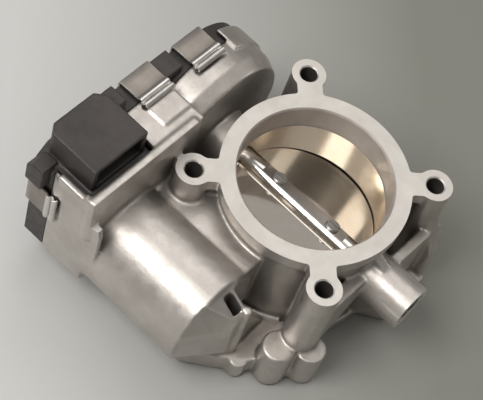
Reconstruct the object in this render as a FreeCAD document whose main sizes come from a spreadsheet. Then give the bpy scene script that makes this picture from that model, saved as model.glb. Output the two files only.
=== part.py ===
"""Electronic throttle body: a die-cast body with a round throat, a throttle plate on a shaft,
a two-stage gear train, a direct-current motor, a return spring and a clipped plastic cover.

Frame, in millimetres: the origin is the centre of the throat on the machined front face.
+Z leaves that face, +X runs along the throttle shaft away from the gears, and the motor
lies beside the throat at -Y.
"""
import FreeCAD, Part
import math
import os
import Sketcher
from FreeCAD import Placement, Rotation, Vector

SIZES = {
    # throat, front face and rear face
    "throat_radius": 30.0, "mouth_radius": 30.4, "mouth_depth": 11.8, "body_depth": 60.0,
    "ring_radius": 37.4, "ring_depth": 6.5, "tube_radius": 35.0,
    "bolt_half": 33.0, "bolt_hole_radius": 3.5, "ear_radius": 6.9, "ear_foot_radius": 7.6,
    "neck_width": 10.0, "rear_depth": 7.0, "rear_radius": 38.6,
    # throttle shaft line
    "shaft_depth": 25.0, "shaft_radius": 5.0, "shaft_gap": 0.15, "bearing_radius": 7.0,
    "boss_radius": 9.75, "boss_end": 57.0, "neck_boss_radius": 12.0,
    "plate_thickness": 1.9, "plate_gap": 0.06, "closed_angle": 5.5, "rest_angle": 8.0,
    "flat_height": 4.3, "back_flat_height": 3.6, "flat_reach": 21.0, "drive_flat_depth": 1.2,
    "screw_place": 14.0, "screw_radius": 1.9, "screw_head_radius": 3.0,
    # gear case
    "case_split": 61.0, "case_floor": 44.0, "case_back": 41.0, "case_wall": 2.6,
    "round_floor": 48.0, "round_back": 45.0, "case_taper": 2.5,
    "case_radius": 36.0, "case_y": 1.5, "case_z": 23.5, "block_top": 16.0, "block_end": 79.0, "block_start": 23.0,
    "case_corner": 5.0, "case_low": 59.4, "rim_rise": 0.8, "rib_radius": 3.2,
    "cover_face": 71.0, "cover_wall": 2.5, "cover_inset": 0.6,
    # connector shroud, its seat in the case and the blades inside it
    "shroud_end": 46.5, "shroud_low": 75.0, "shroud_high": 48.5, "shroud_base": 11.2, "shroud_top": 25.5,
    "shroud_side_wall": 2.2, "shroud_floor": 2.6, "shroud_roof": 2.1, "seat_gap": 0.3,
    "seat_end": 43.9, "seat_low": 77.6, "seat_high": 46.4, "seat_floor": 10.6, "seat_plate": 1.6,
    "blade_width": 1.2, "blade_height": 0.8, "blade_pitch": 6.0, "blade_row": 3.8, "blade_length": 14.0,
    # cover clips
    "clip_steel": 0.8, "clip_rise": 0.35, "clip_half": 7.4, "clip_hook": 1.0, "clip_end": 58.1,
    "clip_drop": 4.5, "lip_radius": 0.75, "groove_width": 16.0, "groove_depth": 1.3,
    # motor
    "motor_y": 58.0, "motor_z": 29.0, "motor_housing_radius": 21.3, "motor_end": 7.0,
    "can_radius": 17.9, "can_wall": 1.3, "can_gap": 0.3, "motor_shaft_radius": 1.6,
    "nose_reach": 10.5, "pocket_start": 8.4, "pocket_end": 15.4, "foot_height": 10.0,
    "toe_radius": 4.0, "small_lobe_radius": 6.8, "tall_lobe_radius": 6.2, "pillar_radius": 1.8,
    # gear train
    "sector_module": 1.0, "sector_teeth": 59, "inner_teeth": 13,
    "wheel_module": 0.8, "wheel_teeth": 46, "pinion_teeth": 11,
    "tooth_shift": 0.4, "tooth_play": 0.1,
    # return spring
    "coil_radius": 15.0, "wire_radius": 0.7, "coil_turns": 3.5, "coil_pitch": 1.5,
}

REACH = 130.0  # longer than the body, for tools that cut right through it

doc = FreeCAD.newDocument("ThrottleBody")
sheet = doc.addObject("Spreadsheet::Sheet", "Sizes")
nodes = []


class Size:
    """A number together with the sheet formula that gives it."""

    def __init__(self, value, text):
        self.value = float(value)
        self.text = text

    def __float__(self):
        return self.value

    def __neg__(self):
        return Size(-self.value, f"(-1 * {self.text})")

    def __add__(self, other):
        return Size(self.value + float(other), f"({self.text} + {formula(other)})")

    def __radd__(self, other):
        return Size(float(other) + self.value, f"({formula(other)} + {self.text})")

    def __sub__(self, other):
        return Size(self.value - float(other), f"({self.text} - {formula(other)})")

    def __rsub__(self, other):
        return Size(float(other) - self.value, f"({formula(other)} - {self.text})")

    def __mul__(self, other):
        return Size(self.value * float(other), f"({self.text} * {formula(other)})")

    __rmul__ = __mul__


def formula(number):
    """The text of a number for a formula."""
    return number.text if isinstance(number, Size) else f"({float(number)!r})"


def fill_sheet():
    """Write every driving dimension into the sheet and return them by name."""
    sizes = {}
    for row, (name, value) in enumerate(SIZES.items(), start=1):
        sheet.set(f"A{row}", name)
        sheet.set(f"B{row}", str(value))
        sheet.setAlias(f"B{row}", name)
        sizes[name] = Size(value, f"Sizes.{name}")
    doc.recompute()
    return sizes


S = fill_sheet()

TURNS = {
    "+z": Rotation(),
    "-z": Rotation(Vector(1, 0, 0), 180),
    "+x": Rotation(Vector(0, 1, 0), 90),
    "-x": Rotation(Vector(0, 1, 0), -90),
    "+y": Rotation(Vector(1, 0, 0), -90),
    "-y": Rotation(Vector(1, 0, 0), 90),
}


# ---------------------------------------------------------------- building blocks

def bind(thing, **sizes):
    """Tie properties of a document object to sheet formulas."""
    for prop, number in sizes.items():
        thing.setExpression(prop, formula(number))


def place(thing, x, y, z, turn=Rotation()):
    """Put an object at a point, each coordinate tied to the sheet."""
    thing.Placement = Placement(Vector(float(x), float(y), float(z)), turn)
    for axis, number in (("x", x), ("y", y), ("z", z)):
        thing.setExpression(f"Placement.Base.{axis}", formula(number))
    return thing


def rod(name, radius, length, x=0, y=0, z=0, way="+x"):
    """A cylinder that starts at a point and runs along one axis."""
    thing = doc.addObject("Part::Cylinder", name)
    bind(thing, Radius=radius, Height=length)
    return place(thing, x, y, z, TURNS[way])


def cone(name, start_radius, end_radius, length, x=0, y=0, z=0, way="+x"):
    """A cone that starts at a point and runs along one axis."""
    thing = doc.addObject("Part::Cone", name)
    bind(thing, Radius1=start_radius, Radius2=end_radius, Height=length)
    return place(thing, x, y, z, TURNS[way])


def block(name, low, high):
    """A box between two corners."""
    thing = doc.addObject("Part::Box", name)
    length, width, height = [top - bottom for bottom, top in zip(low, high)]
    bind(thing, Length=length, Width=width, Height=height)
    return place(thing, *low)


def fuse(name, pieces):
    """One solid from several."""
    thing = doc.addObject("Part::MultiFuse", name)
    thing.Shapes = pieces
    thing.Refine = True
    return thing


def cut(name, base, tools):
    """A solid with one or more others taken away."""
    thing = doc.addObject("Part::Cut", name)
    thing.Base = base
    thing.Tool = tools[0] if len(tools) == 1 else fuse(name + "_tools", tools)
    thing.Refine = True
    return thing


def common(name, pieces):
    """What several solids share."""
    thing = doc.addObject("Part::MultiCommon", name)
    thing.Shapes = pieces
    return thing


def group(name, pieces):
    """Separate solids kept in one sub-part."""
    thing = doc.addObject("Part::Compound", name)
    thing.Links = pieces
    return thing


def ring(name, outer, inner, length, x=0, y=0, z=0, way="+x"):
    """A tube that starts at a point and runs along one axis."""
    return cut(name, rod(name + "_outer", outer, length, x, y, z, way),
               [rod(name + "_inner", inner, length, x, y, z, way)])


def turned(thing, angle, x=0, y=0, z=0):
    """Turn an object by an angle in degrees about a line along X through a point."""
    turn = Placement(Vector(), Rotation(Vector(1, 0, 0), angle), Vector(x, float(y), float(z)))
    for piece in [thing] if not hasattr(thing, "Shapes") else thing.Shapes:
        piece.Placement = turn.multiply(piece.Placement)
    return thing


def draw_loop(sketch, points):
    """Draw a closed loop of straight lines, each corner tied to the sheet."""
    count = len(points)
    for index, (start, end) in enumerate(zip(points, points[1:] + points[:1])):
        line = Part.LineSegment(Vector(float(start[0]), float(start[1]), 0),
                                Vector(float(end[0]), float(end[1]), 0))
        sketch.addGeometry(line, False)
    for index in range(count):
        sketch.addConstraint(Sketcher.Constraint("Coincident", index, 2, (index + 1) % count, 1))
    for index, point in enumerate(points):
        for kind, number in zip(("DistanceX", "DistanceY"), point):
            sketch.addConstraint(Sketcher.Constraint(kind, -1, 1, index, 1, float(number)))
            if isinstance(number, Size):
                last = sketch.ConstraintCount - 1
                sketch.setExpression(f"Constraints[{last}]", number.text)


def new_sketch(body, name, plane, offset=0):
    """A sketch on one of the body's own origin planes, moved along the plane's normal."""
    sketch = body.newObject("Sketcher::SketchObject", name)
    origin_plane = [item for item in body.Origin.OriginFeatures if item.Role == plane][0]
    sketch.AttachmentSupport = [(origin_plane, "")]
    sketch.MapMode = "FlatFace"
    sketch.AttachmentOffset = Placement(Vector(0, 0, float(offset)), Rotation())
    sketch.setExpression("AttachmentOffset.Base.z", formula(offset))
    return sketch


def prism(name, plane, points, start, end):
    """A body padded from a straight-sided outline between two levels of its plane's normal."""
    body = doc.addObject("PartDesign::Body", name)
    away = -1 if plane == "XZ_Plane" else 1
    sketch = new_sketch(body, name + "_outline", plane, away * (start if away > 0 else end))
    draw_loop(sketch, points)
    pad = body.newObject("PartDesign::Pad", name + "_pad")
    pad.Profile = sketch
    bind(pad, Length=end - start)
    return body


def spun(name, points, x, y, z, way="+x"):
    """A body turned from a half section: points are (distance from axis, place along it)."""
    body = doc.addObject("PartDesign::Body", name)
    sketch = new_sketch(body, name + "_section", "XZ_Plane")
    draw_loop(sketch, points)
    turn = body.newObject("PartDesign::Revolution", name + "_turn")
    turn.Profile = sketch
    turn.ReferenceAxis = (sketch, ["V_Axis"])
    turn.Angle = 360.0
    return place(body, x, y, z, TURNS[way])


def keep(label, thing):
    """Name an object as a finished sub-part."""
    thing.Label = label
    nodes.append(thing)
    return thing


# ---------------------------------------------------------------- gear case outline

def case_outline(name, inset, start, end):
    """The gear case seen along the shaft: a round end about the shaft and a block round the motor."""
    top = S["block_top"] - inset
    side = -S["block_end"] + inset
    step = -S["block_start"] - inset
    round_end = rod(name + "_round", S["case_radius"] - inset, end - start,
                    start, -S["case_y"], -S["case_z"])
    corner = S["case_corner"]
    outline = [(side, -42.0), (side, top - corner), (side + corner, top), (step, top),
               (-2.0, -S["shaft_depth"]), (-12.0, -58.4 + inset), (-58.0, -52.6 + inset),
               (-70.0, -50.0 + inset)]
    long_end = prism(name + "_block", "YZ_Plane", outline, start, end)
    whole = fuse(name + "_whole", [round_end, long_end])
    room = block(name + "_room", (start, -REACH, -S["case_low"] + inset), (end, REACH, REACH))
    return common(name, [whole, room])


# ---------------------------------------------------------------- cast body

def corners():
    """The four bolt places, as signs of X and Y."""
    return [(across, along) for across in (-1, 1) for along in (-1, 1)]


def throat_blanks():
    """Tube, front ring, rear flange, and the four bolt columns with their necks."""
    depth = S["body_depth"]
    blanks = [
        rod("tube_blank", S["tube_radius"], depth, 0, 0, 0, "-z"),
        rod("ring_blank", S["ring_radius"], S["ring_depth"], 0, 0, 0, "-z"),
        rod("rear_blank", S["rear_radius"], S["rear_depth"], 0, 0, -depth, "+z"),
    ]
    for across, along in corners():
        tag = f"{'right' if across > 0 else 'left'}_{'up' if along > 0 else 'down'}"
        x = across * S["bolt_half"]
        y = along * S["bolt_half"]
        blanks.append(cone("column_" + tag, S["ear_radius"], S["ear_foot_radius"], depth, x, y, 0, "-z"))
        blanks.append(rod("foot_" + tag, S["ear_foot_radius"] + 1.2, S["rear_depth"],
                          x, y, -depth, "+z"))
        for part, width, top, bottom in (("neck", S["neck_width"], 0, -S["ring_depth"]),
                                         ("web", S["neck_width"] - 5.0, -S["ring_depth"], -depth)):
            blanks.append(diagonal_web(f"{part}_{tag}", across, along, width, top, bottom))
    return blanks


def diagonal_web(name, across, along, width, top, bottom):
    """A flat web from the throat tube out to one bolt column."""
    body = doc.addObject("Part::Box", name)
    reach = S["bolt_half"] * math.sqrt(2)
    bind(body, Length=reach, Width=width, Height=top - bottom)
    angle = math.degrees(math.atan2(along, across))
    side = math.radians(angle)
    half = width * 0.5
    place(body, half * math.sin(side), half * -math.cos(side), bottom,
          Rotation(Vector(0, 0, 1), angle))
    return body


def boss_blanks():
    """Bearing bosses at both ends of the throttle shaft, with the ribs that stiffen them."""
    depth = S["shaft_depth"]
    far = rod("far_boss", S["boss_radius"], S["boss_end"] - 29.0, 29, 0, -depth)
    near = rod("near_boss", S["neck_boss_radius"], 20, -47, 0, -depth)
    front_rib = prism("front_rib", "XZ_Plane",
                      [(30, -8), (42, -15.5), (52, -17.5), (52, -25), (30, -25)], -2.0, 2.0)
    rear_rib = prism("rear_rib", "XZ_Plane",
                     [(30, -25), (50, -25), (46, -40), (38, -58), (30, -58)], -2.2, 2.2)
    lower_gusset = prism("lower_gusset", "YZ_Plane",
                         [(-38, -16), (-6, -19), (-6, -32), (-30, -52), (-38, -52)], 33.0, 38.5)
    upper_gusset = prism("upper_gusset", "YZ_Plane",
                         [(36, -22), (6, -18), (6, -33), (30, -50), (37, -56)], 38.0, 42.5)
    upper_wall = prism("upper_wall", "XZ_Plane",
                       [(33, -14), (39.5, -16), (46.5, -34), (47.5, -60), (33, -60)], 29.0, 35.0)
    upper_foot = prism("upper_foot", "XY_Plane",
                       [(30, 38), (42, 39), (49, 30), (49, 8), (36, 0), (25, 20)],
                       -S["body_depth"], -S["body_depth"] + 9.0)
    return [far, near, front_rib, rear_rib, lower_gusset, upper_gusset, upper_wall, upper_foot]


def motor_blanks():
    """The motor housing, its faceted nose, its foot and the web that joins it to the throat."""
    y = -S["motor_y"]
    z = -S["motor_z"]
    radius = S["motor_housing_radius"]
    barrel = rod("motor_barrel", radius, S["motor_end"] + 45.0, -45.0, y, z)
    nose = faceted_nose("motor_nose", radius)
    web = block("motor_web", (-41.0, -54.0, -47.0), (7.0, -26.0, -13.0))
    foot = prism("motor_foot", "XY_Plane",
                 [(-38, -62), (-20, -66), (5, -67), (17, -58), (26, -50), (30, -30), (-38, -20)],
                 -S["body_depth"], -S["body_depth"] + S["foot_height"])
    low = -S["body_depth"]
    toe = rod("foot_toe", S["toe_radius"], 9.5, 21.5, -52.5, low, "+z")
    small_lobe = rod("small_lobe", S["small_lobe_radius"], 22.0, 31.0, -43.0, low, "+z")
    tall_lobe = rod("tall_lobe", S["tall_lobe_radius"], 20.0, 39.6, -33.6, low, "+z")
    pillar = rod("nose_pillar", S["pillar_radius"], 37.0, 17.2, -52.8, low + 8.0, "+z")
    top_web = prism("nose_top_web", "XZ_Plane",
                    [(0, -12), (7, -9.5), (17.2, -16), (17.2, -50), (0, -50)], -54.0, -52.3)
    side_web = prism("nose_side_web", "YZ_Plane",
                     [(-52.8, -15.5), (-34, -50), (-52.8, -50)], 15.4, 17.2)
    return [barrel, nose, web, foot, toe, small_lobe, tall_lobe, pillar, top_web, side_web]


def faceted_nose(name, radius):
    """A loft from an octagon on the motor barrel's end to a narrow upright octagon."""
    body = doc.addObject("PartDesign::Body", name)
    wide = new_sketch(body, name + "_wide", "YZ_Plane", S["motor_end"])
    spots = []
    for step in range(8):
        angle = math.radians(22.5 + 45 * step)
        spots.append((-S["motor_y"] + radius * math.cos(angle),
                      -S["motor_z"] + radius * math.sin(angle)))
    draw_loop(wide, spots)
    narrow = new_sketch(body, name + "_narrow", "YZ_Plane", S["motor_end"] + S["nose_reach"])
    draw_loop(narrow, [(-51.5, -25), (-52.5, -17.5), (-58, -17.5), (-60, -22),
                       (-57, -46), (-54, -51), (-45, -51), (-42, -46)])
    loft = body.newObject("PartDesign::AdditiveLoft", name + "_loft")
    loft.Profile = wide
    loft.Sections = [narrow]
    loft.Ruled = True
    return body


def taper_ring():
    """What is cut off the round end's outer edge to taper it towards the throat."""
    radius = S["case_radius"]
    y = -S["case_y"]
    z = -S["case_z"]
    start = -S["round_back"] - 6.0
    length = 12.0
    disc = rod("taper_disc", radius + 6.0, length, start, y, z)
    core = cone("taper_core", radius, radius - S["case_taper"] * 2.0, length, start, y, z)
    motor_side = block("taper_keep", (-REACH, -REACH, -REACH), (0, -S["block_start"], REACH))
    low_side = block("taper_keep_low", (-REACH, -REACH, -REACH), (0, -12.0, -54.0))
    return cut("taper", disc, [core, motor_side, low_side])


def case_blanks():
    """The aluminium half of the gear case with its rims, corner rib and clip ledges."""
    split = -S["case_split"]
    back = -S["case_back"]
    shell = case_outline("case_shell", 0, split, back)
    trimmed = cut("case_trimmed", shell, [taper_ring(), block(
        "round_back_cut", (-S["round_back"], -S["block_start"], -REACH), (back + 1.0, REACH, REACH))])
    rim = block("connector_rim", (-43.5, -80.0, 8.0), (back + 1.0, -26.0, S["block_top"] + S["rim_rise"]))
    side_rim = block("side_rim", (-58.0, -80.5, 9.0), (back, -77.0, S["block_top"] - 1.2))
    corner_rib = rod("corner_rib", S["rib_radius"], 26.0, -42.6, -77.6, -10.0, "+z")
    corner_fin = prism("corner_fin", "XZ_Plane",
                       [(-43, 13), (-41, 13), (-36, -4), (-36, -27), (-43, -27)], -78.8, -76.4)
    y = -S["case_y"]
    z = -S["case_z"]
    radius = S["case_radius"]
    lip = cut("end_lip", rod("end_lip_outer", radius + 1.2, 11.0, -67.0, y, z),
              [rod("end_lip_inner", radius - 0.2, 6.2, -67.2, y, z),
               rod("end_lip_core", radius - 2.0, 20.0, -70.0, y, z),
               block("end_lip_low", (-70.0, -60.0, -90.0), (-50.0, 60.0, -27.0)),
               block("end_lip_front", (-70.0, -60.0, -90.0), (-50.0, 12.5, 60.0))])
    return [trimmed, rim, side_rim, corner_rib, corner_fin, lip]


def case_room():
    """The hollow of the gear case: shallower and tapered in the round end, deep by the motor."""
    wall = S["case_wall"]
    whole = case_outline("case_hollow", wall, -S["case_split"] - 1.0, -S["case_floor"])
    round_floor = block("round_floor", (-S["round_floor"], -S["block_start"] - wall, -REACH),
                        (-S["case_floor"] + 1.0, REACH, REACH))
    return cut("case_room", whole, [round_floor])


def body_cuts():
    """Everything that is cored or machined out of the casting."""
    shaft_z = -S["shaft_depth"]
    motor = (-S["motor_y"], -S["motor_z"])
    cuts = [
        rod("throat_cut", S["throat_radius"], REACH, 0, 0, -S["body_depth"] - 5.0, "+z"),
        rod("mouth_cut", S["mouth_radius"], S["mouth_depth"] + 2.0, 0, 0, -S["mouth_depth"], "+z"),
        rod("shaft_cut", S["shaft_radius"] + S["shaft_gap"], REACH, -S["case_split"] + 1.0, 0, shaft_z),
        rod("near_bearing_cut", S["bearing_radius"], 19.0, -52.0, 0, shaft_z),
        rod("far_bearing_cut", S["bearing_radius"], REACH, 34.0, 0, shaft_z),
        case_room(),
        rod("motor_cut", S["can_radius"] + S["can_gap"], S["case_floor"] + 3.0,
            -S["case_floor"], *motor),
        rod("motor_bush_cut", 5.3, 4.0, 2.5, *motor),
        block("connector_seat", (-REACH, -S["seat_low"], S["seat_floor"]),
              (-S["seat_end"], -S["seat_high"], REACH)),
        block("nose_pocket_outer", (S["pocket_start"], -58.2, -38.0), (S["pocket_end"], -54.0, 0.0)),
        block("nose_pocket_inner", (S["pocket_start"], -52.3, -44.0), (S["pocket_end"], -36.0, 0.0)),
        rod("pin_hole", 2.0, 3.6, -45.5, -PIN_Y, -PIN_Z),
    ]
    for across, along in corners():
        tag = f"{across}_{along}".replace("-", "m")
        x = across * S["bolt_half"]
        y = along * S["bolt_half"]
        cuts.append(rod("bolt_cut_" + tag, S["bolt_hole_radius"], REACH, x, y,
                        -S["body_depth"] - 5.0, "+z"))
        cuts.append(cone("bolt_edge_" + tag, S["bolt_hole_radius"], S["bolt_hole_radius"] + 1.0,
                         1.0, x, y, -0.5, "+z"))  # a half-millimetre chamfer
    for index, (y, z) in enumerate(MOTOR_SCREWS):
        cuts.append(rod(f"motor_screw_cut_{index}", 1.7, 7.0, -45.0, y, z))
    return cuts


def hollow_boss():
    """The bearing boss that stands inside the gear case around the shaft."""
    shaft_z = -S["shaft_depth"]
    boss = ring("inner_boss", 11.0, S["bearing_radius"], 5.0, -S["round_floor"] - 3.0, 0, shaft_z)
    post = rod("pin_post", 4.0, 2.5, -46.5, -PIN_Y, -PIN_Z)
    post_hole = cut("pin_boss", post, [rod("pin_post_hole", 2.0, 4.0, -47.0, -PIN_Y, -PIN_Z)])
    return [boss, post_hole]


def make_housing():
    """The one-piece aluminium casting."""
    blanks = throat_blanks() + boss_blanks() + motor_blanks() + case_blanks()
    solid = fuse("housing_blank", blanks)
    cored = cut("housing_cored", solid, body_cuts() + clip_grooves())
    keep("throttle_housing", fuse("housing", [cored] + hollow_boss()))


# ---------------------------------------------------------------- cover clips

def clip_places():
    """Each clip as (name, placement that brings a clip drawn at the top of the case to its place)."""
    centre = Vector(0, -float(S["case_y"]), -float(S["case_z"]))
    places = [("long_top", Placement(Vector(0, -29.5, float(S["block_top"])), Rotation()))]
    for name, angle in (("round_top", -1.0), ("round_far", -118.0), ("round_low", -158.0)):
        turn = Placement(Vector(), Rotation(Vector(1, 0, 0), angle), centre)
        up = Placement(centre + Vector(0, 0, float(S["case_radius"])), Rotation())
        places.append((name, turn.multiply(up)))
    side = Placement(Vector(0, -float(S["block_end"]), -10.0), Rotation(Vector(1, 0, 0), 90))
    low = Placement(Vector(0, -44.0, -54.37), Rotation(Vector(1, 0, 0), 172.8))
    return places + [("side", side), ("under", low)]


def clip_grooves():
    """The grooves behind the case rim that the clips hook into."""
    tools = []
    for name, spot in clip_places():
        tool = doc.addObject("Part::Box", "groove_" + name)
        bind(tool, Length=3.0, Width=S["groove_width"], Height=6.0)
        start = Vector(-float(S["clip_end"]) - 1.1, -float(S["groove_width"]) / 2, -float(S["groove_depth"]))
        tool.Placement = spot.multiply(Placement(start, Rotation()))
        tools.append(tool)
    return tools


def make_clips():
    """Spring-steel clips that pinch the cover against the case rim."""
    made = []
    face = -S["cover_face"]
    steel = S["clip_steel"]
    rise = S["clip_rise"]
    drop = -S["clip_drop"]
    hook = -S["clip_hook"]
    end = -S["clip_end"]
    half = S["clip_half"]
    outline = [(face - steel, drop), (face - 0.05, drop), (face - 0.05, rise), (end - steel, rise),
               (end - steel, hook), (end, hook), (end, rise + steel), (face - steel, rise + steel)]
    for name, spot in clip_places():
        clip = prism("clip_" + name, "XZ_Plane", outline, -half, half)
        lips = [rod(f"lip_{name}_{index}", S["lip_radius"], half * 2.0 - 0.8, x, -half + 0.4,
                    rise + steel + 0.15, "+y")
                for index, x in enumerate((end - 2.5, end - 0.1))]
        whole = fuse("clip_whole_" + name, [clip] + lips)
        whole.Placement = spot
        made.append(whole)
    keep("cover_clips", group("clips", made))


# ---------------------------------------------------------------- cover and electrics

def make_cover():
    """The plastic cover with its skirt, its connector shroud and its locating lumps."""
    face = -S["cover_face"]
    split = -S["case_split"] + 0.02
    inset = S["cover_inset"]
    wall = S["cover_wall"]
    skirt = case_outline("cover_shell", inset, face, split - 0.04)
    room = case_outline("cover_room", inset + wall, face + wall, split + 1.0)
    low, high, end = -S["shroud_low"], -S["shroud_high"], -S["shroud_end"]
    base, top = S["shroud_base"], S["shroud_top"]
    shroud = prism("connector_shroud", "XY_Plane",
                   [(face, low + 3.5), (face + 3.0, low), (end, low), (end, high),
                    (face + 4.0, high), (face, high - 3.5)], base, top)
    mouth = block("connector_mouth", (end - 15.0, low + S["shroud_side_wall"], base + S["shroud_floor"]),
                  (0, high - S["shroud_side_wall"] - 0.1, top - S["shroud_roof"]))
    gap = S["seat_gap"]
    plate = block("seat_plate", (face + 3.0, -S["seat_low"] + gap, base),
                  (-S["seat_end"] - gap, -S["seat_high"] - gap, base + S["seat_plate"]))
    lump = prism("corner_lump", "XZ_Plane",
                 [(face + 0.5, 2.0), (face + 0.5, 11.0), (face + 3.0, 14.0), (-62.5, 14.0), (-62.5, 2.0)],
                 -83.5, -76.0)
    tab = block("top_tab", (face - 0.8, -20.6, -2.0), (-62.5, -11.6, 14.0))
    latch = block("shroud_latch", (-70.0, -54.5, 13.0), (-62.0, -43.5, 23.0))
    socket = block("terminal_room", (-69.0, -70.0, 15.5), (-61.0, -53.5, 21.8))
    solid = fuse("cover_solid", [skirt, shroud, plate, lump, tab, latch])
    keep("gear_cover", cut("cover", solid, [room, mouth, socket]))


def make_terminals():
    """Six connector blades in two rows."""
    blades = []
    half_width = S["blade_width"] * 0.5
    half_height = S["blade_height"] * 0.5
    start = -S["cover_face"] + 3.0
    for row in range(2):
        z = 16.8 + S["blade_row"] * row
        for column in range(3):
            y = -67.8 + S["blade_pitch"] * column
            blades.append(block(f"blade_{row}_{column}", (start, y - half_width, z - half_height),
                                (start + S["blade_length"], y + half_width, z + half_height)))
    keep("connector_terminals", group("terminals", blades))


def make_sensor_board():
    """The position sensor's track board, fixed inside the cover around the shaft."""
    face = -S["cover_face"] + S["cover_wall"]
    blank = rod("board_blank", 20.0, 1.0, face, 0, -S["shaft_depth"])
    leg = block("board_leg", (face, -42.0, -12.0), (face + 1.0, -10.0, 1.0))
    keep("sensor_board", fuse("board", [blank, leg]))


def make_gasket():
    """The rubber seal between the case rim and the cover's skirt."""
    start = -S["case_split"] - 0.9
    outer = case_outline("gasket_outer", S["cover_inset"] + S["cover_wall"] + 0.15, start, start + 1.8)
    inner = case_outline("gasket_inner", S["cover_inset"] + S["cover_wall"] + 1.45, start - 1.0,
                         start + 3.0)
    keep("cover_gasket", cut("gasket", outer, [inner]))


# ---------------------------------------------------------------- shaft, plate and bearings

def make_shaft():
    """The throttle shaft: round in the bearings, milled flat and slotted across the throat."""
    z = -S["shaft_depth"]
    rest = float(S["closed_angle"]) + float(S["rest_angle"])
    blank = rod("shaft_blank", S["shaft_radius"], 112.0, -62.0, 0, z)
    radius = S["shaft_radius"]
    half = S["plate_thickness"] * 0.5
    slot = block("shaft_slot", (-30.6, -10.0, z - half), (30.6, 10.0, z + half))
    reach = S["flat_reach"]
    side = radius * 2.0
    flat = block("shaft_flat", (-reach, -side, z + S["flat_height"]), (reach, side, z + side))
    back_flat = block("shaft_back_flat", (-reach, -side, z - side), (reach, side, z - S["back_flat_height"]))
    drive = radius - S["drive_flat_depth"]
    drive_flats = [block("drive_flat_up", (-63.0, -side, z + drive), (-54.0, side, z + side)),
                   block("drive_flat_down", (-63.0, -side, z - side), (-54.0, side, z - drive))]
    holes = [rod(f"shaft_screw_hole_{index}", S["screw_radius"], 20.0,
                 side * S["screw_place"], 0, z - 10.0, "+z")
             for index, side in enumerate((-1, 1))]
    tools = [slot, flat, back_flat] + drive_flats + holes
    for tool in tools:
        turned(tool, -rest, 0, 0, z)
        tool.setExpression("Placement.Base.y", None)
        tool.setExpression("Placement.Base.z", None)
    keep("throttle_shaft", cut("shaft", blank, tools))


def make_plate():
    """The throttle plate: a flat disc that fits the throat when it is closed, then turned to rest."""
    z = -float(S["shaft_depth"])
    gap_radius = float(S["throat_radius"]) - float(S["plate_gap"])
    thickness = float(S["plate_thickness"])
    closed = Rotation(Vector(1, 0, 0), -float(S["closed_angle"]))
    slab = Part.makeBox(80, 80, thickness, Vector(-40, -40, -thickness / 2))
    slab.Placement = Placement(Vector(0, 0, z), closed)
    disc = slab.common(Part.makeCylinder(gap_radius, 80, Vector(0, 0, z - 40)))
    for side in (-1, 1):
        hole = Part.makeCylinder(float(S["screw_radius"]), 20, Vector(side * float(S["screw_place"]), 0, -10))
        hole.Placement = Placement(Vector(0, 0, z), closed)
        disc = disc.cut(hole)
    disc.rotate(Vector(0, 0, z), Vector(1, 0, 0), -float(S["rest_angle"]))
    plate = doc.addObject("Part::Feature", "plate")
    plate.Shape = disc
    keep("throttle_plate", plate)


def make_plate_screws():
    """Two flat-headed screws that clamp the plate in the shaft's slot."""
    z = -float(S["shaft_depth"])
    rest = float(S["closed_angle"]) + float(S["rest_angle"])
    screws = []
    for index, side in enumerate((-1, 1)):
        base = S["flat_height"]
        head = S["screw_head_radius"]
        stem = S["screw_radius"]
        profile = [(0, base + 1.3), (head - 0.5, base + 1.3), (head, base + 0.8), (head, base),
                   (stem, base), (stem, -4.4), (stem - 0.5, -5.0), (0, -5.0)]
        screw = spun(f"screw_{index}", profile, 0, 0, 0, "+z")
        bit = block(f"screw_slot_{index}", (-4.0, -0.45, base + 0.7), (4.0, 0.45, base + 3.0))
        whole = cut(f"screw_whole_{index}", screw, [bit])
        turn = Rotation(Vector(1, 0, 0), -rest)
        whole.Placement = Placement(Vector(side * float(S["screw_place"]), 0, z), turn)
        screws.append(whole)
    keep("plate_screws", group("screws", screws))


def make_bearings():
    """Needle bearings, shaft seals and the plug that closes the far boss."""
    z = -S["shaft_depth"]
    inner = S["shaft_radius"] + 0.03
    outer = S["bearing_radius"]
    places = {"near": -50.5, "far": 38.0}
    bearings = [ring("bearing_" + side, outer, inner, 12.0, x, 0, z) for side, x in places.items()]
    keep("needle_bearings", group("bearings", bearings))
    seals = []
    for side, x in (("near", -36.8), ("far", 34.2)):
        washer = [(outer, 0), (outer, 2.8), (outer - 0.7, 2.8), (outer - 0.7, 0.7),
                  (inner + 0.05, 0.7), (inner + 0.05, 0.0)]
        seals.append(spun("seal_" + side, washer, x, 0, z))
    keep("shaft_seals", group("seals", seals))
    cup = [(0, 0), (outer, 0), (outer, 4.6), (outer - 0.5, 5.1), (4.9, 5.1), (4.9, 1.0), (0, 1.0)]
    keep("bearing_plug", spun("plug", cup, S["boss_end"] - 5.4, 0, z))


# ---------------------------------------------------------------- gear train

PRESSURE_ANGLE = 20.0
SECTOR_CENTRE = float(S["sector_module"]) * (float(S["sector_teeth"]) + float(S["inner_teeth"])) / 2
WHEEL_CENTRE = float(S["wheel_module"]) * (float(S["wheel_teeth"]) + float(S["pinion_teeth"])) / 2


def pin_place():
    """Where the intermediate pin stands: its distances from the shaft and motor axes are fixed."""
    dy = -float(S["motor_y"])
    dz = float(S["shaft_depth"]) - float(S["motor_z"])
    span = math.hypot(dy, dz)
    along = (SECTOR_CENTRE ** 2 - WHEEL_CENTRE ** 2 + span ** 2) / (2 * span)
    across = math.sqrt(SECTOR_CENTRE ** 2 - along ** 2)
    y = (dy * along + dz * across) / span
    z = (dz * along - dy * across) / span - float(S["shaft_depth"])
    return -y, -z


PIN_Y, PIN_Z = pin_place()
MOTOR_SCREWS = ((-43.2, -14.2), (-43.2, -43.8))


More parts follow.
